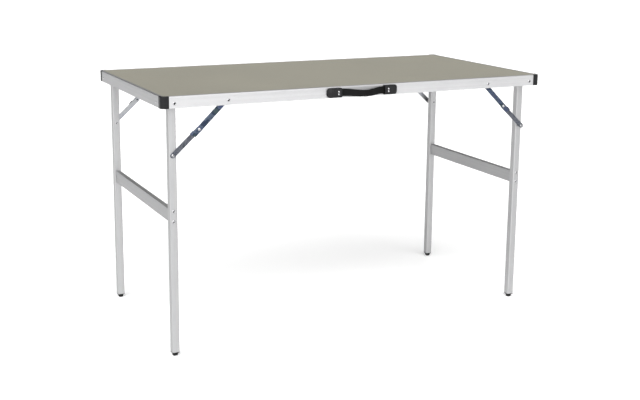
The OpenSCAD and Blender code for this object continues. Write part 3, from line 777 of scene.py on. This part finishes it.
def sleeve(bm, origin, outward, radius, bore, low, high):
    """A turned tube round a pin, from low to high along a level axis."""
    other = outward.cross(Z)
    place = axes(origin, other, outward.cross(other), outward)
    edge = BUSH_EDGE
    profile = [(bore, low), (radius - edge, low), (radius, low + edge), (radius, high - edge),
               (radius - edge, high), (bore, high)]
    lathe(bm, profile, place, closed=True)


def rail_pins(side):
    """One side's hinge and stay pins, from the long rails' faces through their bushes."""
    made = {kind: bmesh.new() for kind in ("hinge_pins", "hinge_bushes", "stay_pins", "stay_bushes")}
    hinge = joints[f"{side}_leg_fold"]["pos_m"]
    for row, sy in ROWS:
        rail_face = faces(f"{row}_rail", sy)[0]
        wall = rail_face - sy * RAIL_WALL
        leg_outer, leg_inner = faces(f"{side}_leg_{row}", sy)
        tail_seat = leg_inner - sy * MOVE_GAP
        pin(made["hinge_pins"], at(hinge[0], rail_face, hinge[2]), sy * Y, HINGE_HEAD,
            HINGE_PIN_R, abs(tail_seat - rail_face), HINGE_TAIL)
        sleeve(made["hinge_bushes"], at(hinge[0], wall, hinge[2]), -sy * Y,
               HINGE_PIN_R + BUSH_WALL, HINGE_PIN_R, 0, abs(leg_outer - wall) - MOVE_GAP)
        stay = joints[f"{side}_{row}_stay_pivot"]["pos_m"]
        web = faces(f"{side}_{row}_upper_link", sy)[0]
        pin(made["stay_pins"], at(stay[0], rail_face, stay[2]), sy * Y, STAY_HEAD,
            STAY_PIN_R, abs(web - rail_face) + WEB_T + SEAT_GAP, TAIL)
        sleeve(made["stay_bushes"], at(stay[0], wall, stay[2]), -sy * Y,
               STAY_PIN_R + BUSH_WALL, STAY_PIN_R, 0, abs(web - wall) - SEAT_GAP)
    for kind, bm in made.items():
        piece(f"{kind}_{side}", bm, hollow_rivet, "tabletop", "rivet_steel", f"{side}_{kind}")


def cap_rivets():
    """The corner caps' rivets, one in each end rail near each of its corners."""
    bm = bmesh.new()
    for side, sx in SIDES:
        lo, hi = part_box(f"{side}_rail")
        face = lo.x if sx < 0 else hi.x
        z = joints[f"{side}_leg_fold"]["pos_m"][2]
        for row, sy in ROWS:
            edge = faces(f"corner_cap_{row}_{side}", sy)[0]
            pin(bm, at(face, edge - sy * CORNER_RIVET_IN, z), sx * X, SMALL_HEAD,
                SMALL_SHANK_R, CORNER_SHANK)
    piece("cap_rivets", bm, rivet_metal, "tabletop", "rivet_steel", "corner_rivets")


# ---------- leg frames ----------

def foot(name, node, leg, body):
    """A plastic foot: a plug, a slim square flange, and a taper to a round sole."""
    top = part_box(node)[1].z
    leg_lo, leg_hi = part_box(leg)
    middle = middle_of(leg)
    width = leg_hi.x - leg_lo.x
    square = rectangle(width, width, TUBE_ROUND, FOOT_STEPS)
    turns = [math.atan2(p.y, p.x) for p in square]

    def disc(radius):
        return [Vector((radius * math.cos(a), radius * math.sin(a))) for a in turns]

    def shrink(distance):
        return grow(square, -distance)

    seat = leg_lo.z
    under = seat - FOOT_FLANGE
    edge_in, edge_down = FOOT_TOP_EDGE
    plug = TUBE_WALL + SEAT_GAP
    sections = [(disc(r), z) for r, z in FOOT_SOLE]
    sections += [(disc(r), under + z) for r, z in FOOT_TAPER]
    sections += [(shrink(d), under + z) for d, z in FOOT_FLANGE_EDGE]
    sections += [(shrink(0), seat - edge_down), (shrink(edge_in), seat), (shrink(plug), seat),
                 (shrink(plug), top - FOOT_PLUG_EDGE), (shrink(TUBE_WALL + FOOT_PLUG_EDGE), top)]
    bm = bmesh.new()
    sweep(bm, sections, axes(at(middle.x, middle.y, 0), X, Y, Z))
    piece(name, bm, foot_plastic, body, "foot_rubber", node)


def leg_plug(bm, leg):
    """A plug in a leg's upper end, with a rim that lies on the tube."""
    lo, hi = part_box(leg)
    middle = middle_of(leg)
    bore = hi.x - lo.x - 2 * TUBE_WALL - 2 * SEAT_GAP
    stem = rectangle(bore, bore, LEG_PLUG_ROUND)
    rim = rectangle(LEG_PLUG_RIM, LEG_PLUG_RIM, TUBE_ROUND)
    sections = [(grow(stem, growth), z) for growth, z in LEG_PLUG_STEM_EDGES]
    sections += [(grow(rim, growth), z) for growth, z in LEG_PLUG_RIM_EDGES]
    sweep(bm, sections, axes(at(middle.x, middle.y, hi.z), X, Y, Z))


def stay_anchor(bm, side, row, sy, collared):
    """The leg's half of the rivet that its stay ends on, and a collar out to the lower link."""
    leg = f"{side}_leg_{row}"
    outer, inner = faces(leg, sy)
    depth = abs(inner - outer)
    profile = [(STAY_PIN_R, 0.0), (STAY_PIN_R, depth)] + tail_profile(*TAIL, depth)
    if collared:
        stand_off = abs(outer - faces(f"{side}_{row}_lower_link", sy)[1]) - MOVE_GAP
        edge = LEG_COLLAR_EDGE
        profile = [(LEG_COLLAR_R - edge, -stand_off), (LEG_COLLAR_R, edge - stand_off),
                   (LEG_COLLAR_R, -edge), (LEG_COLLAR_R - edge, 0.0)] + profile
    place = axes(at(middle_of(leg).x, outer, middle_of(f"{side}_{row}_end_rivet").z), X, Z, -sy * Y)
    # The tail's middle bands take the second material, a painted shade in its dimple
    lathe(bm, profile[::-1], place, dark=DIMPLE_BANDS)


def make_leg_frame(side, sx):
    """Two legs with their feet and plugs, a crossbar, and the rivets that ride on them."""
    body = f"{side}_leg_frame"
    rivets, plugs, anchors = bmesh.new(), bmesh.new(), bmesh.new()
    bar_z = middle_of(f"{side}_crossbar").z
    for row, sy in ROWS:
        leg = f"{side}_leg_{row}"
        bm = bmesh.new()
        tube(bm, *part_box(leg), Z, TUBE_ROUND)
        piece(f"leg_tube_{side}_{row}", bm, leg_metal, body, "tube_aluminium", leg)
        foot(f"foot_{side}_{row}", f"{side}_foot_{row}", leg, body)
        for level in (-0.5, 0.5):
            seat = at(middle_of(leg).x, faces(leg, sy)[0], bar_z + level * CROSSBAR_RIVET_PITCH)
            pin(rivets, seat, sy * Y, CROSSBAR_HEAD, SMALL_SHANK_R, CROSSBAR_SHANK)
        leg_plug(plugs, leg)
        stay_anchor(anchors, side, row, sy, collared=sx > 0)
    bm = bmesh.new()
    tube(bm, *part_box(f"{side}_crossbar"), Y, CROSSBAR_ROUND)
    piece(f"crossbar_{side}", bm, crossbar_metal, body, "tube_aluminium", f"{side}_crossbar")
    piece(f"crossbar_rivet_heads_{side}", rivets, hollow_rivet, body, "rivet_steel",
          f"{side}_crossbar_rivets")
    piece(f"leg_end_plugs_{side}", plugs, corner_plastic, body, "corner_plastic",
          f"{side}_leg_plugs")
    piece(f"stay_anchor_pins_{side}", anchors, hollow_rivet, body, "rivet_steel",
          f"{side}_stay_anchors")
    refinish(f"{side}_crossbar_plugs", corner_plastic)


# ---------- stays ----------

def zinc_link(name, bm, zinc, body, node, inward):
    """A link of a stay; its faces towards the table's middle have a paler plating."""
    link = piece(name, bm, (zinc, inner_zinc), body, "zinc_steel", node)
    for polygon in link.data.polygons:
        if polygon.normal.dot(inward) > FACING:
            polygon.material_index = 1


def channel_section(low, high, rise):
    """A web from low to high with a flange at its low edge: x across it, y inwards."""
    flange, top = low + FLANGE_T, WEB_T + rise
    return fillet([(high, 0, SOFT), (high, WEB_T, SOFT), (flange, WEB_T, FLANGE_INNER_EDGE),
                   (flange, top, FLANGE_TOP_EDGE), (low, top, FLANGE_TOP_EDGE),
                   (low, 0, SOFT + min(rise, FLANGE_T))])


def channel_stations(reach):
    """A channel's sections, as (distance, low edge, high edge, flange rise, slant)."""
    w = UPPER_HALF_W
    stations = [(-w * math.cos(t), -w * math.sin(t), w * math.sin(t), FLANGE_LEAST, 0.0)
                for t in quarter(ROUND_END_BANDS, 1)]
    for s in range(1, FLANGE_STEPS + 1):
        k = s / FLANGE_STEPS
        rise = FLANGE_H * (3 * k * k - 2 * k ** 3)
        stations.append((w * (FLANGE_START + FLANGE_RUN * k), -w, w, rise, 0.0))
    stations.append((reach - SLANT_RUN, -w, w, FLANGE_H, 0.0))
    for t in quarter(CORNER_BANDS):
        inset = WEB_CORNER * (1 - math.cos(t))
        stations.append((reach - WEB_CORNER * (1 - math.sin(t)), -w + WEB_DRAW * inset, w - inset,
                         FLANGE_H - FLANGE_DROP * inset, 1.0))
    return stations


def upper_link(name, node, pivot, along, away, inward, length, lug_depth, body):
    """A pressed link: a web with a round end, a shallow flange, and a stop lug by the knee."""
    reach = length + KNEE_OVERLAP
    w, t = UPPER_HALF_W, WEB_T
    rings = []
    for x, low, high, rise, lean in channel_stations(reach):
        rings.append([pivot + along * (x - lean * WEB_SLANT * (v + w) / (2 * w))
                      + away * v + inward * n for v, n in channel_section(low, high, rise)])
    bm = bmesh.new()
    loft(bm, rings)
    root, bend = LUG_ROOT - w, FLANGE_T - LUG_HALF_W
    lug = fillet([(-LUG_HALF_W, LUG_SKIN, LUG_BEND), (root, LUG_SKIN, LUG_SKIN),
                  (root, t - LUG_SKIN, LUG_SKIN), (bend, t - LUG_SKIN, LUG_EDGE),
                  (bend, lug_depth, LUG_EDGE), (-LUG_HALF_W, lug_depth, LUG_EDGE)])
    lug_end = reach - LUG_END_GAP
    prism(bm, lug, lug_end - LUG_LENGTH, lug_end, axes(pivot, away, inward, along), LUG_EDGE)
    zinc_link(name, bm, upper_zinc, body, node, inward)


def lower_link(name, node, knee, along, away, inward, length, body):
    """A flat bar with round ends."""
    w = LOWER_HALF_W
    turns = [math.pi * s / LINK_END_BANDS for s in range(LINK_END_BANDS + 1)]
    outline = [Vector((length + w * math.sin(a), -w * math.cos(a))) for a in turns]
    outline += [Vector((-w * math.sin(a), w * math.cos(a))) for a in turns]
    bm = bmesh.new()
    prism(bm, outline, 0, LINK_T, axes(knee, along, away, inward), LINK_EASE)
    zinc_link(name, bm, lower_zinc, body, node, inward)


def make_stay(side, row, sy):
    """Two links from the rail's pin to the leg's rivet, with a rivet at the knee."""
    key = f"{side}_{row}"
    hinge, pivot, knee = (Vector(joints[name]["pos_m"]) for name in (
        f"{side}_leg_fold", f"{key}_stay_pivot", f"{key}_stay_knee"))
    end = middle_of(f"{key}_end_rivet")
    for point in (hinge, pivot, knee, end):
        point.y = 0
    outward = sy * Y
    web_out, lug_in = faces(f"{key}_upper_link", sy)
    lower_out, lower_in = faces(f"{key}_lower_link", sy)

    def away_from_hinge(along):
        across = along.cross(Y)
        return across if across.dot(hinge - pivot) < 0 else -across

    upper = (knee - pivot).normalized()
    lower = (end - knee).normalized()
    upper_link(f"stay_channel_{key}", f"{key}_upper_link", pivot + Y * web_out, upper,
               away_from_hinge(upper), -outward, (knee - pivot).length,
               abs(lug_in - web_out), f"{key}_upper_stay")
    lower_link(f"stay_bar_{key}", f"{key}_lower_link", knee + Y * lower_out, lower,
               away_from_hinge(lower), -outward, (end - knee).length, f"{key}_lower_stay")
    knee_seat = knee + Y * web_out
    knee_in = faces(f"{key}_knee_rivet", sy)[1]
    bm = bmesh.new()
    pin(bm, knee_seat, outward, KNEE_HEAD, STAY_PIN_R, abs(knee_in - web_out))
    sleeve(bm, knee_seat, -outward, KNEE_COLLAR_R, STAY_PIN_R, WEB_T,
           abs(lower_out - web_out) - SEAT_GAP)
    piece(f"knee_rivet_{key}", bm, rivet_metal, f"{key}_upper_stay", "rivet_steel",
          f"{key}_knee_rivet")
    bm = bmesh.new()
    pin(bm, end + Y * lower_out, outward, END_HEAD, STAY_PIN_R, abs(lower_in - lower_out))
    piece(f"foot_rivet_{key}", bm, hollow_rivet, f"{key}_lower_stay", "rivet_steel",
          f"{key}_end_rivet")


# ---------- handle ----------

def handle_section(deep, high, soft=HANDLE_EDGE, back=0.0):
    """A handle cap's section: x out from the rail, y up, with a crowned face."""
    top = high / 2
    face = deep - HANDLE_CROWN * deep
    return fillet([(back, -top, HANDLE_BACK_EDGE), (face, -top, soft),
                   (deep, 0, HANDLE_CROWN_ROUND), (face, top, soft),
                   (back, top, HANDLE_BACK_EDGE)], FINE_STEPS)


def handle_cap(name, node, away):
    """A moulded shell with a crowned face and a rounded outer end, open at its inner end."""
    lo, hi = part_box(node)
    length, depth, height = hi.x - lo.x, hi.y - lo.y, hi.z - lo.z
    sections = [(handle_section(depth - HANDLE_WALL + deeper, height - 2 * HANDLE_WALL + higher,
                                edge, back), x) for x, deeper, higher, edge, back in HANDLE_HOLLOW]
    for t in quarter(HANDLE_MOUTH_BANDS):
        inset = HANDLE_MOUTH_EASE * (1 - math.sin(t))
        sections.append((handle_section(depth - inset, height - 2 * inset),
                         HANDLE_MOUTH_EASE * (1 - math.cos(t))))
    straight = length - depth
    sections.append((handle_section(depth, height), straight * HANDLE_STRAIGHT))
    for t in quarter(HANDLE_TIP_STEPS, 1)[:-1]:
        x = straight + depth * math.sin(t)
        deep = depth * (HANDLE_TIP + (1 - HANDLE_TIP) * math.cos(t))
        past = max(0.0, x - (length - HANDLE_ROUND))
        high = height - 2 * (HANDLE_ROUND - math.sqrt(HANDLE_ROUND ** 2 - past ** 2))
        sections.append((handle_section(deep, high), x))
    inner_x = hi.x if away < 0 else lo.x
    bm = bmesh.new()
    sweep(bm, sections, axes(at(inner_x, hi.y, middle_of(node).z), -Y, Z, X * away))
    piece(name, bm, handle_plastic, "tabletop", "handle_plastic", node)


def pad_rise(x):
    """1 on a rib of one of the strap's grip pads, 0 on the plain strap."""
    rise = 0.0
    for middle in PAD_CENTRES:
        edge = max(0.0, min(1.0, (PAD_HALF - abs(x - middle)) / PAD_EDGE))
        rib = RIB_LOW + RIB_SWING * math.cos(2 * math.pi * (x - middle) / RIB_PITCH)
        rise = max(rise, edge * rib)
    return rise


def make_strap():
    """The carrying strap: it bows out and sags between the caps, with ribbed grip pads."""
    lo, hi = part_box("handle_strap")
    left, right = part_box("handle_cap_left"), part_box("handle_cap_right")
    rail_face = left[1].y
    middle = at((left[1].x + right[0].x) / 2, rail_face, (lo.z + hi.z) / 2)
    reach = (right[0].x - left[1].x) / 2
    height = hi.z - lo.z
    thick = 2 * (STRAP_SEAT - (rail_face - hi.y))
    bow = rail_face - lo.y - thick / 2 - STRAP_SEAT

    def slack(x):
        """1 at the strap's middle, easing to 0 at the caps."""
        return (1 + math.cos(math.pi * min(abs(x) / reach, 1.0))) / 2

    def out(x):
        return STRAP_SEAT + bow * slack(x)

    end = reach + STRAP_END_IN
    end_in, end_run = STRAP_END_EDGE
    xs = [-end, -end + end_run, -reach - STRAP_RUN_IN]
    xs += [reach * (2 * k / STRAP_STEPS - 1) for k in range(STRAP_STEPS + 1)]
    xs += [reach + STRAP_RUN_IN, end - end_run, end]
    rings = []
    for x in xs:
        slope = (out(x + SLOPE_STEP) - out(x - SLOPE_STEP)) / (2 * SLOPE_STEP)
        normal = Vector((-slope, -1, 0)).normalized()
        narrowing = end_in if abs(x) == end else 0.0
        thinning, lowering = (lift * (1 - pad_rise(x)) for lift in PAD_LIFT)
        tall = height * (1 - STRAP_WAIST * slack(x)) - lowering
        outline = rectangle(thick - thinning - narrowing, tall - narrowing, STRAP_ROUND)
        spine = middle + at(x, -out(x), -STRAP_SAG * slack(x))
        rings.append([spine + normal * p.x + Z * p.y for p in outline])
    bm = bmesh.new()
    loft(bm, rings)
    piece("carry_strap", bm, strap_plastic, "handle_grip", "strap_plastic", "handle_strap")


def make_handle():
    """Two caps with their rivets, and the strap between them."""
    rivets = bmesh.new()
    for side, away in SIDES:
        node = f"handle_cap_{side}"
        handle_cap(f"handle_end_{side}", node, away)
        lo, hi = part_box(node)
        x = (hi.x if away < 0 else lo.x) + away * HANDLE_RIVET_IN
        for level in (-0.5, 0.5):
            pin(rivets, at(x, lo.y, middle_of(node).z + level * HANDLE_RIVET_PITCH), -Y,
                HANDLE_HEAD, HANDLE_SHANK_R, hi.y - lo.y)
    piece("handle_rivet_heads", rivets, rivet_metal, "tabletop", "rivet_steel", "handle_rivets")
    make_strap()


# ---------- studio ----------

def make_floor():
    """A pale floor that glows a little, so it stays white under the table too."""
    bm = bmesh.new()
    bmesh.ops.create_grid(bm, x_segments=FLOOR_SEGMENTS, y_segments=FLOOR_SEGMENTS, size=FLOOR_HALF)
    mesh = bpy.data.meshes.new("floor")
    bm.to_mesh(mesh)
    bm.free()
    f = Finish("studio_floor", Specular_IOR_Level=0.0, Roughness=1.0,
               Emission_Color=(1, 1, 1, 1), Emission_Strength=FLOOR_GLOW)
    tone = f.ramp(f.noise(0.4, 1), (0.3, (0.90, 0.90, 0.90)), (0.7, (0.915, 0.915, 0.915)))
    mesh.materials.append(f.use(Base_Color=tone))
    floor = bpy.data.objects.new("floor", mesh)
    bpy.context.collection.objects.link(floor)


def make_world():
    """A room that is dim but for two soft glows."""
    world = bpy.data.worlds.new("studio")
    world.use_nodes = True
    nodes, links = world.node_tree.nodes, world.node_tree.links
    direction = nodes.new("ShaderNodeTexCoord").outputs["Generated"]
    total = nodes.new("ShaderNodeMath")
    total.operation = "ADD"
    for k, (toward, start, full, strength) in enumerate(GLOWS):
        facing = nodes.new("ShaderNodeVectorMath")
        facing.operation = "DOT_PRODUCT"
        facing.inputs[1].default_value = toward.normalized()
        links.new(direction, facing.inputs[0])
        glow = nodes.new("ShaderNodeMapRange")
        glow.interpolation_type = "SMOOTHSTEP"
        for socket, value in (("From Min", start), ("From Max", full),
                              ("To Min", WORLD_DIM / len(GLOWS)), ("To Max", strength)):
            glow.inputs[socket].default_value = value
        links.new(facing.outputs["Value"], glow.inputs["Value"])
        links.new(glow.outputs["Result"], total.inputs[k])
    background = nodes["Background"]
    background.inputs["Color"].default_value = (1, 1, 1, 1)
    links.new(total.outputs["Value"], background.inputs["Strength"])
    bpy.context.scene.world = world


def make_key():
    """A wide soft key light from the front left."""
    lamp = bpy.data.lights.new("key", "SUN")
    lamp.energy = KEY_STRENGTH
    lamp.angle = KEY_SPREAD
    key = bpy.data.objects.new("key", lamp)
    key.rotation_euler = KEY_FROM.to_track_quat("Z", "Y").to_euler()
    bpy.context.collection.objects.link(key)


def make_camera():
    """The camera at the viewing angle: turned, tipped and rolled about its own axes."""
    camera = bpy.data.cameras.new("camera")
    camera.sensor_width = CAMERA_SENSOR
    camera.lens = CAMERA_LENS
    camera.shift_x, camera.shift_y = CAMERA_SHIFT
    obj = bpy.data.objects.new("camera", camera)
    turn = Matrix.Identity(4)
    for angle, axis in ((CAMERA_TURN, "Z"), (CAMERA_TIP, "X"), (CAMERA_ROLL, "Y"), (90, "X")):
        turn = turn @ Matrix.Rotation(math.radians(angle), 4, axis)
    obj.matrix_world = Matrix.Translation(CAMERA_AT) @ turn
    bpy.context.collection.objects.link(obj)
    bpy.context.scene.camera = obj


make_camera()
make_world()
make_key()
bpy.context.scene.view_settings.view_transform = "Standard"
make_floor()
make_top()
for side, _ in SIDES:
    rail_pins(side)
cap_rivets()
for side, sx in SIDES:
    make_leg_frame(side, sx)
    for row, sy in ROWS:
        make_stay(side, row, sy)
make_handle()

bpy.context.view_layer.update()
